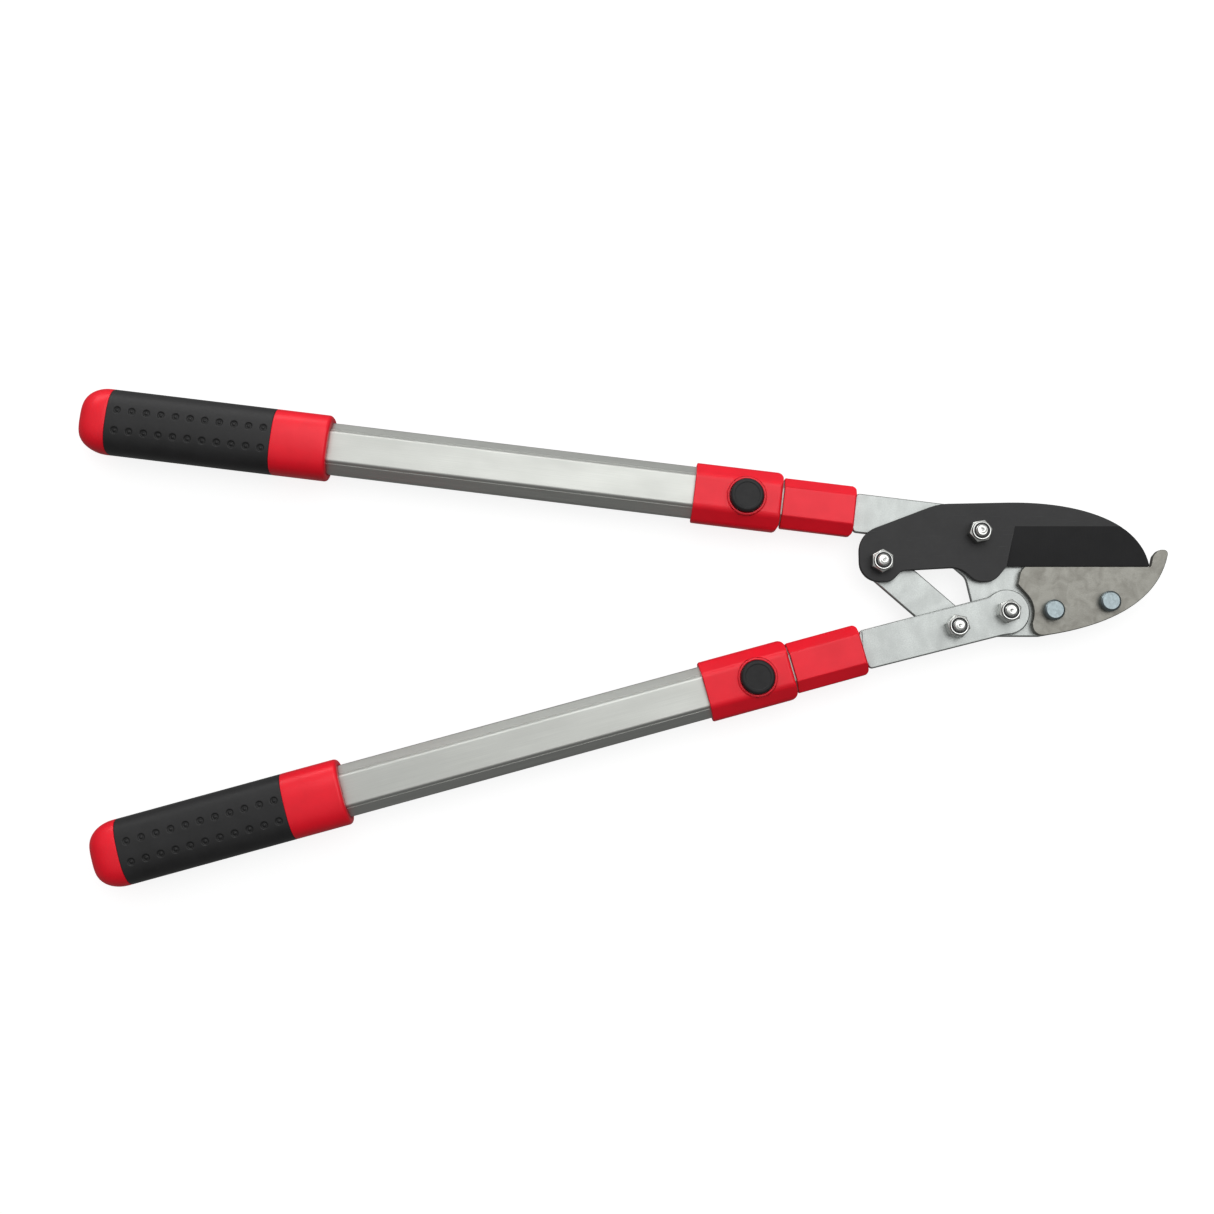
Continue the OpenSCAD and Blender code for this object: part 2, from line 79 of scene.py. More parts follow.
def centre(node):
    low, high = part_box(node)
    return (low + high) / 2


class Handle:
    """One handle's own axes: s runs along it to the grip, t across it and z up, from its button."""

    def __init__(self, side):
        self.along = Vector(JOINTS[side + "_telescope"]["axis"])
        self.across = Vector((-self.along.y, self.along.x, 0))
        self.turn = math.atan2(self.along.y, self.along.x)
        spot = centre(side + "_button")
        self.origin = Vector((spot.x, spot.y, centre(side + "_grip_core").z))

    def point(self, s, t, z):
        return self.origin + self.along * s + self.across * t + Vector((0, 0, z))

    def span(self, node):
        """Where a node starts and ends along the handle."""
        reach = [(v.co - self.origin).dot(self.along) for v in NODES[node].data.vertices]
        return min(reach), max(reach)

    def width(self, node):
        """How wide a node is across the handle."""
        reach = [(v.co - self.origin).dot(self.across) for v in NODES[node].data.vertices]
        return max(reach) - min(reach)


HANDLES = {side: Handle(side) for side in SIDES}


# ---- materials ----

class Surface:
    """A Principled material with procedural patterns in the part's own coordinates."""

    def __init__(self, name, metallic=0.0, specular=0.5, turn=0.0):
        self.material = bpy.data.materials.new(name)
        self.material.use_nodes = True
        self.tree = self.material.node_tree
        self.shader = self.tree.nodes["Principled BSDF"]
        self.shader.inputs["Metallic"].default_value = metallic
        self.shader.inputs["Specular IOR Level"].default_value = specular
        self.turn = turn
        self.normal = None

    def node(self, kind, inputs=None, **settings):
        made = self.tree.nodes.new(kind)
        for name, value in settings.items():
            setattr(made, name, value)
        for key, value in (inputs or {}).items():
            if isinstance(value, bpy.types.NodeSocket):
                self.tree.links.new(value, made.inputs[key])
            else:
                made.inputs[key].default_value = value
        return made

    def place(self, stretch=(1, 1, 1)):
        """Object coordinates, turned so that x runs along the handle, then squeezed by stretch."""
        spot = self.node("ShaderNodeTexCoord").outputs["Object"]
        if self.turn:
            spot = self.node("ShaderNodeVectorRotate", {"Vector": spot, "Angle": -self.turn},
                             rotation_type="Z_AXIS").outputs["Vector"]
        squeeze = [1 / k for k in stretch]
        return self.node("ShaderNodeVectorMath", {0: spot, 1: squeeze},
                         operation="MULTIPLY").outputs["Vector"]

    def noise(self, size_mm, detail=3, rough=0.5, stretch=(1, 1, 1), warp=0.0):
        """Noise with features about size_mm across."""
        return self.node("ShaderNodeTexNoise", {
            "Vector": self.place(stretch), "Scale": 1 / (size_mm * MM), "Detail": detail,
            "Roughness": rough, "Distortion": warp}).outputs["Fac"]

    def spots(self, size_mm, stretch=(1, 1, 1)):
        """Distance to the nearest of scattered points about size_mm apart."""
        return self.node("ShaderNodeTexVoronoi", {
            "Vector": self.place(stretch), "Scale": 1 / (size_mm * MM)}).outputs["Distance"]

    def remap(self, fac, low, high, to_low=0.0, to_high=1.0):
        return self.node("ShaderNodeMapRange", {
            "Value": fac, "From Min": low, "From Max": high, "To Min": to_low,
            "To Max": to_high}).outputs["Result"]

    def times(self, a, b):
        return self.node("ShaderNodeMath", {0: a, 1: b}, operation="MULTIPLY").outputs["Value"]

    def plus(self, a, b):
        return self.node("ShaderNodeMath", {0: a, 1: b}, operation="ADD").outputs["Value"]

    def mix(self, fac, a, b):
        """Colour between a and b; each is a colour or a socket."""
        mixer = self.node("ShaderNodeMix", data_type="RGBA")
        for slot, value in ((0, fac), (6, a), (7, b)):
            if isinstance(value, bpy.types.NodeSocket):
                self.tree.links.new(value, mixer.inputs[slot])
            else:
                mixer.inputs[slot].default_value = (*value, 1) if slot else value
        return mixer.outputs[2]

    def edges(self, radius_mm, low=0.02, high=0.2):
        """1 on sharp convex and concave edges, fading to 0 at radius_mm from them."""
        soft = self.node("ShaderNodeBevel", {"Radius": radius_mm * MM}, samples=6)
        flat = self.node("ShaderNodeNewGeometry").outputs["Normal"]
        same = self.node("ShaderNodeVectorMath", {0: soft.outputs["Normal"], 1: flat},
                         operation="DOT_PRODUCT").outputs["Value"]
        return self.remap(same, 1 - low, 1 - high)

    def bump(self, height, depth_mm):
        inputs = {"Height": height, "Distance": depth_mm * MM, "Strength": 1.0}
        if self.normal:
            inputs["Normal"] = self.normal
        self.normal = self.node("ShaderNodeBump", inputs).outputs["Normal"]
        self.tree.links.new(self.normal, self.shader.inputs["Normal"])

    def set(self, name, value):
        if isinstance(value, bpy.types.NodeSocket):
            self.tree.links.new(value, self.shader.inputs[name])
        elif isinstance(value, tuple):
            self.shader.inputs[name].default_value = (*value, 1)
        else:
            self.shader.inputs[name].default_value = value
        return self


def shade(colour, factor):
    return tuple(min(1, c * factor) for c in colour)


def tube_aluminium(turn):
    """Drawn and satin anodised: long fine lines with the tube, and a few faint rubs."""
    base = (0.605, 0.615, 0.59)
    s = Surface("tube_aluminium", metallic=1.0, turn=turn)
    lines = s.noise(0.5, 4, 0.6, stretch=(90, 1, 1))
    cloud = s.noise(14, 3, 0.5, stretch=(3, 1, 1))
    colour = s.mix(s.remap(lines, 0.3, 0.7), shade(base, 0.93), shade(base, 1.05))
    s.set("Base Color", s.mix(s.remap(cloud, 0.35, 0.75, 0, 0.5), colour, shade(base, 0.9)))
    rough = s.plus(s.remap(lines, 0.3, 0.7, 0.38, 0.48), s.remap(cloud, 0.3, 0.7, 0, 0.07))
    s.set("Roughness", rough)
    s.bump(lines, 0.012)
    return s.material


def plate_steel(turn):
    """Zinc plate over rolled steel: pale, with a fine sandy speckle."""
    base = (0.505, 0.525, 0.515)
    s = Surface("plate_steel", metallic=1.0, turn=turn)
    grain = s.noise(0.9, 5, 0.7)
    cloud = s.noise(8, 4, 0.6, stretch=(1, 2, 1), warp=0.3)
    colour = s.mix(s.remap(grain, 0.36, 0.66), shade(base, 0.84), shade(base, 1.1))
    colour = s.mix(s.remap(cloud, 0.35, 0.7, 0, 0.5), colour, shade(base, 0.88))
    s.set("Base Color", s.mix(s.times(s.edges(0.5), 0.5), colour, (0.70, 0.71, 0.70)))
    s.set("Roughness", s.plus(s.remap(grain, 0.3, 0.7, 0.32, 0.46), s.remap(cloud, 0.3, 0.7, 0, 0.08)))
    s.bump(grain, 0.03)
    return s.material


def blade_coat():
    """Satin dark coating, rubbed through to steel along its edges and marked by fine scratches."""
    s = Surface("blade_coat", specular=0.5)
    grain = s.noise(0.35, 3, 0.6)
    cloud = s.noise(12, 4, 0.55)
    scratch = s.remap(s.noise(0.35, 2, 0.4, stretch=(40, 1, 1)), 0.66, 0.78)
    colour = s.mix(s.remap(cloud, 0.35, 0.7), (0.031, 0.031, 0.032), (0.043, 0.043, 0.044))
    colour = s.mix(s.times(scratch, 0.35), colour, (0.09, 0.09, 0.09))
    worn = s.times(s.edges(0.45), s.remap(s.noise(2.2, 4, 0.65), 0.38, 0.62))
    s.set("Base Color", s.mix(s.times(worn, 0.8), colour, (0.3, 0.3, 0.29)))
    s.set("Roughness", s.plus(s.remap(grain, 0.3, 0.7, 0.36, 0.48), s.remap(cloud, 0.3, 0.7, 0, 0.06)))
    s.bump(grain, 0.02)
    return s.material


def blade_ground():
    """Ground flank: darker, with grinding lines that run down to the edge."""
    s = Surface("blade_ground", specular=0.32)
    lines = s.noise(0.4, 4, 0.6, stretch=(1, 60, 1))
    cloud = s.noise(9, 3, 0.5)
    colour = s.mix(s.remap(lines, 0.3, 0.7), (0.011, 0.011, 0.012), (0.019, 0.019, 0.02))
    s.set("Base Color", s.mix(s.remap(cloud, 0.4, 0.7, 0, 0.5), colour, (0.009, 0.009, 0.01)))
    s.set("Roughness", s.remap(lines, 0.3, 0.7, 0.34, 0.5))
    s.bump(lines, 0.012)
    return s.material


def anvil_steel():
    """Bare warm grey steel with handling stains and a fine cast of grinding marks."""
    base = (0.30, 0.296, 0.272)
    s = Surface("anvil_steel", metallic=1.0)
    grain = s.noise(0.4, 4, 0.65, stretch=(2.5, 1, 1))
    stain = s.noise(9, 5, 0.65, warp=0.8)
    drip = s.noise(4, 3, 0.5, stretch=(1, 5, 1))
    colour = s.mix(s.remap(grain, 0.3, 0.7), shade(base, 0.86), shade(base, 1.12))
    colour = s.mix(s.remap(stain, 0.42, 0.75, 0, 0.35), colour, (0.21, 0.195, 0.17))
    colour = s.mix(s.remap(drip, 0.55, 0.8, 0, 0.3), colour, (0.36, 0.352, 0.33))
    s.set("Base Color", s.mix(s.times(s.edges(0.4), 0.6), colour, (0.56, 0.55, 0.53)))
    s.set("Roughness", s.plus(s.remap(grain, 0.3, 0.7, 0.34, 0.48), s.remap(stain, 0.4, 0.7, 0, 0.12)))
    s.bump(grain, 0.025)
    return s.material


def zinc(name, colour, rough):
    """Bright zinc plating with faint cloudy tarnish and rubbed edges."""
    s = Surface(name, metallic=1.0)
    cloud = s.noise(2.5, 4, 0.6, warp=0.5)
    grain = s.noise(0.25, 3, 0.6)
    tint = s.mix(s.remap(cloud, 0.35, 0.7), shade(colour, 1.08), shade(colour, 0.86))
    s.set("Base Color", s.mix(s.times(s.edges(0.3), 0.5), tint, (0.86, 0.87, 0.86)))
    s.set("Roughness", s.plus(s.remap(grain, 0.3, 0.7, rough, rough + 0.08),
                              s.remap(cloud, 0.3, 0.7, 0, 0.06)))
    s.bump(grain, 0.008)
    return s.material


def red_plastic():
    """Injection moulded red plastic with a fine satin texture."""
    s = Surface("red_plastic", specular=0.7)
    texture = s.noise(0.3, 3, 0.55)
    cloud = s.noise(16, 3, 0.5)
    s.set("Base Color", s.mix(s.remap(cloud, 0.3, 0.7), (0.92, 0.002, 0.028), (0.84, 0.001, 0.024)))
    s.set("Roughness", s.plus(s.remap(texture, 0.3, 0.7, 0.27, 0.35), s.remap(cloud, 0.3, 0.7, 0, 0.06)))
    s.set("Subsurface Weight", 0.06)
    s.bump(texture, 0.012)
    return s.material


def black_plastic():
    s = Surface("black_plastic", specular=0.4)
    texture = s.noise(0.25, 3, 0.6)
    cloud = s.noise(6, 3, 0.5)
    s.set("Base Color", s.mix(s.remap(cloud, 0.3, 0.7), (0.027, 0.027, 0.028), (0.037, 0.037, 0.038)))
    s.set("Roughness", s.remap(texture, 0.3, 0.7, 0.4, 0.52))
    s.bump(texture, 0.012)
    return s.material


def black_rubber():
    """Soft matte rubber with a fine pebbled skin and slight dusting."""
    s = Surface("black_rubber", specular=0.62)
    pebble = s.spots(0.45)
    cloud = s.noise(11, 4, 0.6)
    dust = s.remap(s.noise(1.3, 5, 0.7), 0.6, 0.8)
    colour = s.mix(s.remap(cloud, 0.3, 0.7), (0.019, 0.019, 0.0195), (0.028, 0.028, 0.029))
    s.set("Base Color", s.mix(s.times(dust, 0.25), colour, (0.06, 0.06, 0.058)))
    s.set("Roughness", s.remap(cloud, 0.3, 0.7, 0.4, 0.52))
    s.set("Sheen Weight", 0.05)
    s.bump(pebble, 0.02)
    return s.material


def nylon():
    s = Surface("nylon", specular=0.4)
    # Painted shade: the ring gets a dark grey that stands in for the shade down in the nut's recess; the nylon
    # itself is paler, near off-white
    s.set("Base Color", s.mix(s.noise(1.0), (0.05, 0.052, 0.056), (0.09, 0.092, 0.098)))
    s.set("Roughness", s.remap(s.noise(0.3), 0.3, 0.7, 0.38, 0.5))
    return s.material


# ---- the CAD nodes' finishes ----

def paint(node, material):
    data = NODES[node].data
    data.materials.clear()
    data.materials.append(material)


LINK_TURN = math.atan2(centre("tail_bolt").y - centre("link_bolt").y,
                       centre("tail_bolt").x - centre("link_bolt").x)


def finishes():
    """One material for each CAD node, by what the node's name ends with."""
    bright = zinc("fastener_zinc", (0.66, 0.67, 0.65), 0.14)
    red = red_plastic()
    black = black_plastic()
    shared = {
        "anvil": anvil_steel(), "rivets": zinc("rivet_zinc", (0.29, 0.335, 0.35), 0.24),
        "bolt": bright, "nut": bright, "washer": bright, "pin": bright,
        "spring": zinc("spring_steel", (0.6, 0.6, 0.6), 0.22), "nut_ring": nylon(),
        "button": black, "bush": black, "insert": black,
        "ferrule": red, "collar": red, "core": red,
        "sleeve": black_rubber(), "link": plate_steel(LINK_TURN),
    }
    tubes = {side: tube_aluminium(HANDLES[side].turn) for side in SIDES}
    plates = {"frame": plate_steel(HANDLES["upper"].turn), "lower": plate_steel(HANDLES["lower"].turn)}
    for node in NODES:
        if node == "blade":
            continue
        if node.endswith("_tube"):
            paint(node, tubes[node.split("_")[0]])
        elif node.endswith("_plate"):
            paint(node, plates[node.split("_")[0]])
        else:
            ending = max((e for e in shared if node.endswith(e)), key=len)
            paint(node, shared[ending])
    return shared


def finish_blade():
    """Coating on the blade, and a darker ground flank."""
    data = NODES["blade"].data
    data.materials.clear()
    for material in (blade_coat(), blade_ground()):
        data.materials.append(material)
    steepest, flattest = 0.9, 0.9995    # the flank leans, but only a little
    sliver = 1e-9
    for polygon in data.polygons:
        tilt = abs(polygon.normal.z)
        if steepest < tilt < flattest and polygon.area > sliver:
            polygon.material_index = 1


# ---- softened edges ----

def soften(node, width_mm, segments=2, angle=28):
    """Rounds a CAD node's sharp edges by a hair, as a real edge is, with modifiers only."""
    piece = NODES[node]
    data = piece.data
    if data.has_custom_normals:
        with bpy.context.temp_override(object=piece, active_object=piece, selected_objects=[piece]):
            bpy.ops.mesh.customdata_custom_splitnormals_clear()
    data.polygons.foreach_set("use_smooth", [True] * len(data.polygons))
    weld = piece.modifiers.new("weld", "WELD")
    weld.merge_threshold = 0.001 * MM
    flat = piece.modifiers.new("flat", "DECIMATE")
    flat.decimate_type = "DISSOLVE"
    flat.angle_limit = math.radians(0.4)
    flat.delimit = {"MATERIAL"}
    bevel = piece.modifiers.new("edge", "BEVEL")
    bevel.width = width_mm * MM
    bevel.segments = segments
    bevel.limit_method = "ANGLE"
    bevel.angle_limit = math.radians(angle)
    bevel.use_clamp_overlap = False
    bevel.miter_outer = "MITER_ARC"
    weighted = piece.modifiers.new("normals", "WEIGHTED_NORMAL")
    weighted.keep_sharp = True


EDGE_MM = {"plate": 0.9, "blade": 0.45, "anvil": 0.45, "link": 0.9, "nut": 0.18, "bolt": 0.2,
           "ferrule": 0.45, "collar": 0.45, "outer_tube": 0.12, "inner_tube": 0.12,
           "core": 0.3, "button": 0.15, "rivets": 0.15}


def soften_all():
    for node in NODES:
        for ending, width in EDGE_MM.items():
            if node.endswith(ending):
                soften(node, width)


# ---- new pieces ----

BODIES = frame["record"]["behaviour"]["bodies"]
BODY_OF = {node: body for body, nodes in BODIES.items() for node in nodes}


def shell(rings, loop=False):
    """Points and faces of a skin through rings of points; a ring of one point closes an end."""
    points = [point for ring in rings for point in ring]
    starts = [sum(len(ring) for ring in rings[:i]) for i in range(len(rings))]
    pairs = list(zip(range(len(rings) - 1), range(1, len(rings))))
    if loop:
        pairs.append((len(rings) - 1, 0))
    faces = []
    for a, b in pairs:
        count = max(len(rings[a]), len(rings[b]))
        for i in range(count):
            corners = ((a, i), (a, (i + 1) % count), (b, (i + 1) % count), (b, i))
            indices = [starts[ring] + (k if len(rings[ring]) > 1 else 0) for ring, k in corners]
            faces.append(tuple(dict.fromkeys(indices)))
    return points, faces


def stand_in(name, rings, node, material, loop=False):
    """Makes a smooth piece through rings, which rides where the CAD node did and replaces it."""
    points, faces = shell(rings, loop)
    data = bpy.data.meshes.new(name)
    data.from_pydata(points, [], faces)
    work = bmesh.new()
    work.from_mesh(data)
    bmesh.ops.recalc_face_normals(work, faces=work.faces)
    work.to_mesh(data)
    work.free()
    data.polygons.foreach_set("use_smooth", [True] * len(data.polygons))
    data.materials.append(material)
    piece = bpy.data.objects.new(name, data)
    bpy.context.scene.collection.objects.link(piece)
    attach(piece, BODY_OF[node])
    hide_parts(node)
    return piece


def ease(x):
    """Smooth step from 0 to 1."""
    x = min(1, max(0, x))
    return x * x * (3 - 2 * x)


# ---- grips: a moulded core and a dimpled rubber sleeve ----

ROUNDNESS = 2.6           # exponent of the grips' oval section
SLEEVE_T = 2.5 * MM
BORE_PLAY = 0.15 * MM


def oval(half_w, half_t, turn):
    """Point of a superellipse, across and up."""
    power = 2 / ROUNDNESS
    c, s = math.cos(turn), math.sin(turn)
    return (math.copysign(half_w * abs(c) ** power, c), math.copysign(half_t * abs(s) ** power, s))


class Grip:
    """Measures of one grip, read off its CAD nodes, and the sections drawn from them."""

    def __init__(self, side):
        self.handle = HANDLES[side]
        low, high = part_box(side + "_grip_core")
        self.half_t = (high.z - low.z) / 2
        self.half_w = self.handle.width(side + "_grip_core") / 2
        self.start, self.end = self.handle.span(side + "_grip_core")
        self.sleeve = self.handle.span(side + "_grip_sleeve")
        self.bore_end = self.handle.span(side + "_outer_tube")[1] + BORE_PLAY
        tube_low, tube_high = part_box(side + "_outer_tube")
        self.tube_t = (tube_high.z - tube_low.z) / 2 + BORE_PLAY
        self.tube_w = self.handle.width(side + "_outer_tube") / 2 + BORE_PLAY

    def ring(self, s, inset, turns, dent=None):
        """Section of the grip at s, drawn in by inset; dent lowers its top and bottom."""
        made = []
        for turn in turns:
            across, up = oval(self.half_w - inset, self.half_t - inset, turn)
            if dent:
                up -= math.copysign(dent(s, across), up)
            made.append(self.handle.point(s, across, up))
        return made

    def bore_ring(self, s, turns):
        """Eight-sided section just outside the tube, at the same turns as a ring's."""
        height_share, cut = 0.93, 0.745     # set how far in the slanted faces lie
        shoulder = (self.tube_w + self.tube_t * height_share) * math.sqrt(0.5) * cut
        made = []
        for turn in turns:
            across, up = oval(self.half_w, self.half_t, turn)
            reach = math.hypot(across, up)
            c, s_ = abs(across) / reach, abs(up) / reach
            far = min(self.tube_w / max(c, 1e-6), self.tube_t / max(s_, 1e-6),
                      shoulder / ((c + s_) * math.sqrt(0.5)))
            made.append(self.handle.point(s, across / reach * far, up / reach * far))
        return made


def quarter(radius, steps):
    """Points [run, rise] of a quarter circle that turns from across to along."""
    angles = [math.pi / 2 * i / steps for i in range(steps + 1)]
    return [(radius * (1 - math.cos(a)), radius * (1 - math.sin(a))) for a in angles]


def grip_core(side, material):
    """Front ring with a rolled lip, a seat for the sleeve, and a domed end, all hollow."""
    grip = Grip(side)
    turns = [2 * math.pi * i / 96 for i in range(96)]
    lip, edge = 2.4 * MM, 0.3 * MM
    dome_len, dome_inset = 18 * MM, 14.5 * MM
    seat_start, seat_end = grip.sleeve
    outer = [(grip.start + run, rise) for run, rise in quarter(lip, 7)]
    outer += [(seat_start - edge * 4, 0)]
    outer += [(seat_start - run, rise) for run, rise in reversed(quarter(edge, 3))]
    outer += [(seat_start, SLEEVE_T), (seat_end, SLEEVE_T)]
    outer += [(seat_end + run, rise) for run, rise in quarter(edge, 3)]
    steps = 22
    for i in range(steps + 1):
        angle = math.pi / 2 * i / steps
        outer.append((grip.end - dome_len * (1 - math.sin(angle)), dome_inset * (1 - math.cos(angle))))
    rings = [[grip.handle.point(grip.bore_end, 0, 0)], grip.bore_ring(grip.bore_end, turns),
             grip.bore_ring(grip.start + lip, turns), grip.bore_ring(grip.start, turns)]
    rings += [grip.ring(s, inset, turns) for s, inset in outer]
    rings.append([grip.handle.point(grip.end, 0, 0)])
    stand_in(side + "_grip_moulding", rings, side + "_grip_core", material)


# Two rows of round dishes, each row's middle "row" from the line that lies "shift" across the axis
DIMPLE = {"first": 5.2 * MM, "pitch": 9.35 * MM, "row": 6.5 * MM, "count": 11,
          "radius": 2.45 * MM, "wall": 0.65 * MM, "depth": 1.0 * MM,
          "nub": 1.15 * MM, "nub_wall": 0.55 * MM, "nub_height": 0.7 * MM,
          "shift": 1.1 * MM}


def dimple_depth(along, across):
    """Depth of the nearest dimple: a round dish with a nub in its middle."""
    index = min(DIMPLE["count"] - 1, max(0, round((along - DIMPLE["first"]) / DIMPLE["pitch"])))
    off_s = along - DIMPLE["first"] - index * DIMPLE["pitch"]
    off = math.hypot(off_s, abs(across - DIMPLE["shift"]) - DIMPLE["row"])
    dish = DIMPLE["depth"] * ease((DIMPLE["radius"] - off) / DIMPLE["wall"])
    return dish - DIMPLE["nub_height"] * ease((DIMPLE["nub"] - off) / DIMPLE["nub_wall"])


def grip_sleeve(side, material):
    """Rubber sleeve with two rows of dimples above and two below, and rolled ends."""
    grip = Grip(side)
    start, end = grip.sleeve
    step = 0.36 * MM
    fine = 10.4 * MM        # how far from the middle the dimples reach
    half = grip.half_w
    last = math.acos((fine / half) ** (ROUNDNESS / 2))
    count = int(2 * fine / step)
    tops = [fine - 2 * fine * i / count for i in range(count + 1)]
    top = [math.acos(math.copysign((abs(x) / half) ** (ROUNDNESS / 2), x)) for x in tops]
    side_steps = 18
    sides = [-last + 2 * last * i / side_steps for i in range(1, side_steps)]
    turns = sides + top + [math.pi + turn for turn in sides] + [math.pi + turn for turn in top]
    edge = 0.5 * MM
    inner = SLEEVE_T - 0.05 * MM
    rows = int((end - start - 2 * edge) / step)
    rings = [grip.ring(start, inner, turns)]
    rings += [grip.ring(start + run, rise, turns) for run, rise in quarter(edge, 4)]
    for i in range(1, rows):
        s = start + edge + (end - start - 2 * edge) * i / rows
        rings.append(grip.ring(s, 0, turns, lambda s, t: dimple_depth(s - start, t)))
    rings += [grip.ring(end - run, rise, turns) for run, rise in reversed(quarter(edge, 4))]
    rings.append(grip.ring(end, inner, turns))
    stand_in(side + "_grip_rubber", rings, side + "_grip_sleeve", material, loop=True)


# ---- bolts and lock nuts ----

HEX_FLATS = 13 * MM
HEAD_T = 5.3 * MM
THREAD_PITCH = 1.25 * MM
THREAD_ROOT = 3.5 * MM
THREAD_CREST = 3.96 * MM
AROUND = 96


def corner_turn(node):
    """Direction of one of a hexagon's corners, read off the CAD node."""
    middle = centre(node)
    far = max((v.co - middle for v in NODES[node].data.vertices), key=lambda off: off.xy.length)
    return math.atan2(far.y, far.x)


def hexagon(angle):
    """Radius of the hexagon at an angle from one of its corners."""
    return HEX_FLATS / 2 / math.cos(angle % (math.pi / 3) - math.pi / 6)


def turned(node, turn, rows):
    """Rings round a node's axis; each row gives a height and a radius, or a function of the angle."""
    middle = centre(node)
    rings = []
    for z, radius in rows:
        if radius == 0:
            rings.append([Vector((middle.x, middle.y, z))])
            continue
        ring = []
        for i in range(AROUND):
            angle = 2 * math.pi * i / AROUND
            far = radius(angle) if callable(radius) else radius
            lift = z(angle) if callable(z) else z
            ring.append(Vector((middle.x + far * math.cos(angle + turn),
                                middle.y + far * math.sin(angle + turn), lift)))
        rings.append(ring)
    return rings


def within(limit):
    """Hexagon turned down to a radius."""
    return lambda angle: min(hexagon(angle), limit)


def chamfer_rows(z_face, z_full, steps=4):
    """Rows of a hexagon's end, from its round face to its full corners."""
    small, full = HEX_FLATS / 2 - 0.15 * MM, HEX_FLATS / math.sqrt(3)
    return [(z_face + (z_full - z_face) * i / steps, within(small + (full - small) * i / steps))
            for i in range(steps + 1)]


def thread_radius(z, envelope):
    """Radius of a rolled thread at a height, as a function of the angle, kept within the envelope."""
    def radius(angle):
        phase = (z / THREAD_PITCH - angle / (2 * math.pi)) % 1
        height = ease(1.25 - abs(phase - 0.5) * 2.5)
        return min(envelope, THREAD_ROOT + (THREAD_CREST - THREAD_ROOT) * height)
    return radius


def bolt(pivot, material):
    """Hexagon bolt: chamfered head, plain shank, rolled thread, and a curled, dimpled end."""
    node = pivot + "_bolt"
    low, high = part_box(node)
    shank = THREAD_CREST
    head_low, head_top = low.z, low.z + HEAD_T
    end = high.z - 0.35 * MM
    thread_start = end - 3.6 * MM
    rows = [(head_low, 0)] + chamfer_rows(head_low, head_low + 0.8 * MM)
    rows += [(head_top - 0.15 * MM, within(HEX_FLATS)), (head_top, within(HEX_FLATS / 2 + 0.7 * MM)),
             (head_top, shank), (thread_start, shank)]
    taper = 1.0 * MM
    steps = 36
    for i in range(1, steps + 1):
        z = thread_start + (end - thread_start) * i / steps
        envelope = shank - 0.75 * MM * ease((z - end + taper) / taper)
        rows.append((z, thread_radius(z, envelope)))
    edge = shank - 0.85 * MM
    for i in range(1, 12):
        far = edge * (1 - i / 12)
        rows.append((curled_end(end, far, edge), far))
    rows.append((curled_end(end, 0, edge)(0), 0))
    stand_in(pivot + "_bolt_threaded", turned(node, corner_turn(node), rows), node,
             material)


def curled_end(end, far, edge):
    """Height of a bolt's end: crowned, with a small pit and the thread's run-out curling over it."""
    crown = 0.3 * MM * (1 - (far / edge) ** 2)
    pit = 0.5 * MM * math.exp(-(far / (0.85 * MM)) ** 2)
    curl = 0.16 * MM * math.sin(math.pi * far / edge)
    return lambda angle: end + crown - pit + curl * math.sin(angle - 5 * far / edge)


def lock_nut(pivot, material):
    """Lock nut: chamfered hexagon and a round collar rolled in over the nylon ring."""
    node = pivot + "_nut"
    low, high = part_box(node)
    ring_low, ring_high = (corner.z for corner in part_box(pivot + "_nut_ring"))
    bore, seat, lip, rim = 4.07 * MM, 5.33 * MM, 4.96 * MM, 5.8 * MM
    neck = ring_low + 0.45 * MM
    hex_top = neck - 0.95 * MM
    play = 0.02 * MM
    outer_roll, inner_roll = 0.3 * MM, 0.14 * MM
    rows = [(low.z, bore)] + chamfer_rows(low.z, low.z + 0.6 * MM)
    small, full = rim - 0.1 * MM, HEX_FLATS / math.sqrt(3)
    steps = 5
    for i in range(steps + 1):
        rows.append((hex_top + (neck - hex_top) * i / steps,
                     within(full + (small - full) * i / steps)))
    rows += [(neck + 0.12 * MM, rim - 0.04 * MM)]
    rows += [(high.z - rise, rim - run) for run, rise in reversed(quarter(outer_roll, 5))]
    rows += [(high.z - rise, lip + run) for run, rise in quarter(inner_roll, 3)][::-1]
    rows += [(ring_high + play, lip), (ring_high + play, seat), (ring_low - play, seat),
             (ring_low - play, bore)]
    stand_in(pivot + "_nut_collared", turned(node, corner_turn(node), rows), node,
             material, loop=True)


def spring_coil(side, material):
    """Round-wire spring under a lock button."""
    node = side + "_button_spring"
    low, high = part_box(node)
    middle = centre(node)
    wire = 0.44 * MM
    turns = 2.75
    steps, around = 88, 12
    radius = (high.x - low.x) / 2 - wire
    bottom, top = low.z + wire, high.z - wire
    rings = []
    for i in range(steps + 1):
        part = i / steps
        angle = 2 * math.pi * turns * part
        spoke = Vector((math.cos(angle), math.sin(angle), 0))
        spine = Vector((middle.x, middle.y, bottom + (top - bottom) * part)) + radius * spoke
        ring = []
        for j in range(around):
            turn = 2 * math.pi * j / around
            ring.append(spine + wire * (math.cos(turn) * spoke + Vector((0, 0, math.sin(turn)))))
        rings.append([spine] if i in (0, steps) else ring)
    piece = stand_in(side + "_button_coil", rings, node, material)
    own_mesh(piece)


# ---- studio ----

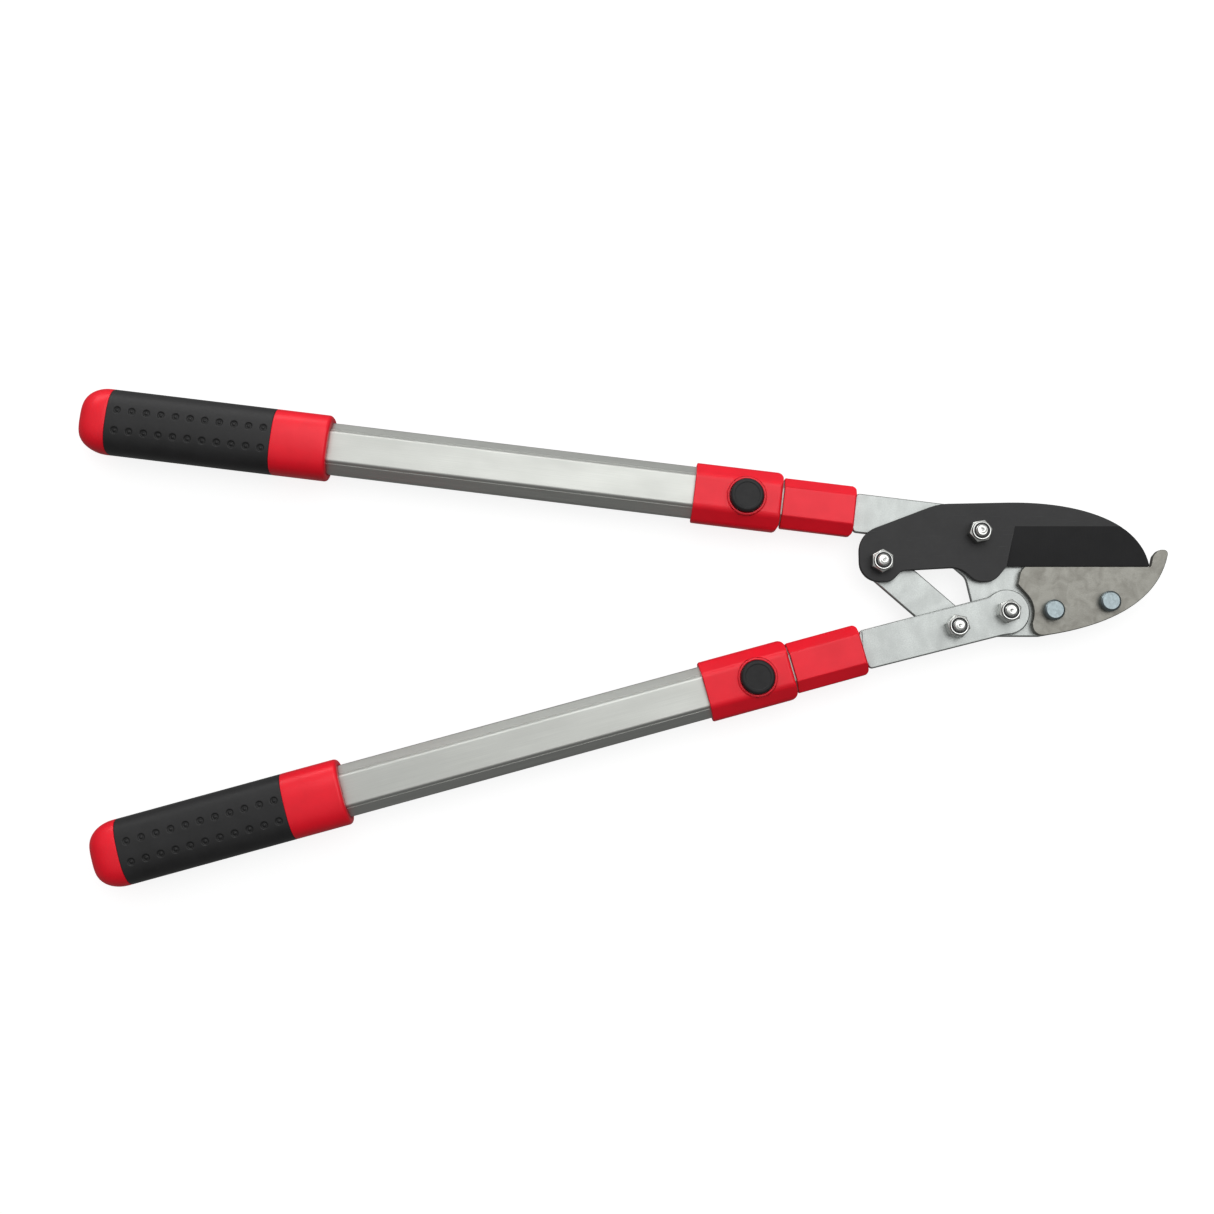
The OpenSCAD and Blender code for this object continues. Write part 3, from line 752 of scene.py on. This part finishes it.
def studio():
    """Pale floor, a broad overhead softbox, a low strip light behind the blade, and a pale room."""
    floor_mesh = bpy.data.meshes.new("floor")
    reach = 30.0
    floor_mesh.from_pydata([(-reach, -reach, 0), (reach, -reach, 0), (reach, reach, 0),
                            (-reach, reach, 0)], [], [(0, 1, 2, 3)])
    floor = bpy.data.objects.new("floor", floor_mesh)
    bpy.context.scene.collection.objects.link(floor)
    drop = 0.3 * MM         # keeps the floor clear of the faces that rest on it
    floor.location.z = -drop
    floor.visible_diffuse = False
    floor.visible_glossy = False
    paper = Surface("floor_paper", specular=0.2)
    paper.set("Base Color", paper.mix(paper.noise(60), (0.2, 0.2, 0.2), (0.21, 0.21, 0.21)))
    paper.set("Roughness", 0.9)
    paper.set("Emission Color", (1.0, 1.0, 1.0))
    paper.set("Emission Strength", 0.86)
    floor_mesh.materials.append(paper.material)
    softbox("key", (0.35, 0.6, 1.35), (0.05, 0, 0), (1.9, 1.1), 8)
    softbox("rim", (-0.5, 1.2, 0.5), (0.05, 0, 0), (1.4, 0.3), 3)
    room()
    view = bpy.context.scene.view_settings
    view.view_transform = "Standard"
    view.look = "None"
    view.gamma = 0.8


def softbox(name, spot, target, size, power):
    light = bpy.data.lights.new(name, "AREA")
    light.shape = "RECTANGLE"
    light.size, light.size_y = size
    light.energy = power
    lamp = bpy.data.objects.new(name, light)
    bpy.context.scene.collection.objects.link(lamp)
    lamp.location = spot
    lamp.rotation_mode = "QUATERNION"
    lamp.rotation_quaternion = (Vector(target) - Vector(spot)).to_track_quat("-Z", "Y")


def room():
    """Room light, brightest overhead and behind the blade and dim on the near side."""
    world = bpy.data.worlds.new("room")
    bpy.context.scene.world = world
    world.use_nodes = True
    tree = world.node_tree
    look = tree.nodes.new("ShaderNodeTexCoord").outputs["Generated"]
    facing = tree.nodes.new("ShaderNodeVectorMath")
    facing.operation = "DOT_PRODUCT"
    facing.inputs[1].default_value = (0, 0.55, 0.835)
    tree.links.new(look, facing.inputs[0])
    ramp = tree.nodes.new("ShaderNodeMapRange")
    ramp.interpolation_type = "SMOOTHSTEP"
    for name, value in (("From Min", -0.1), ("From Max", 0.9), ("To Min", 0.25), ("To Max", 0.85)):
        ramp.inputs[name].default_value = value
    tree.links.new(facing.outputs["Value"], ramp.inputs["Value"])
    background = tree.nodes["Background"]
    tree.links.new(ramp.outputs["Result"], background.inputs["Strength"])
    background.inputs["Color"].default_value = (1, 1, 1, 1)


def camera():
    """Looks almost straight down, tipped a little from the near side."""
    tilt = math.radians(6)
    distance = 0.9525
    middle = (cad_low + cad_high) / 2
    aim = middle + Vector((-0.0086, 0.0172, 0))
    made = bpy.data.objects.new("camera", bpy.data.cameras.new("camera"))
    bpy.context.scene.collection.objects.link(made)
    made.data.sensor_width = 36
    made.data.lens = 44.48
    made.data.clip_start = 0.01
    made.location = aim + distance * Vector((0, -math.sin(tilt), math.cos(tilt)))
    made.rotation_mode = "QUATERNION"
    made.rotation_quaternion = (aim - made.location).to_track_quat("-Z", "Y")
    bpy.context.scene.camera = made


shared = finishes()
finish_blade()
soften_all()
for side in SIDES:
    grip_core(side, shared["core"])
    grip_sleeve(side, shared["sleeve"])
for pivot in PIVOTS:
    bolt(pivot, shared["bolt"])
    lock_nut(pivot, shared["nut"])
for side in SIDES:
    spring_coil(side, shared["spring"])
studio()
camera()
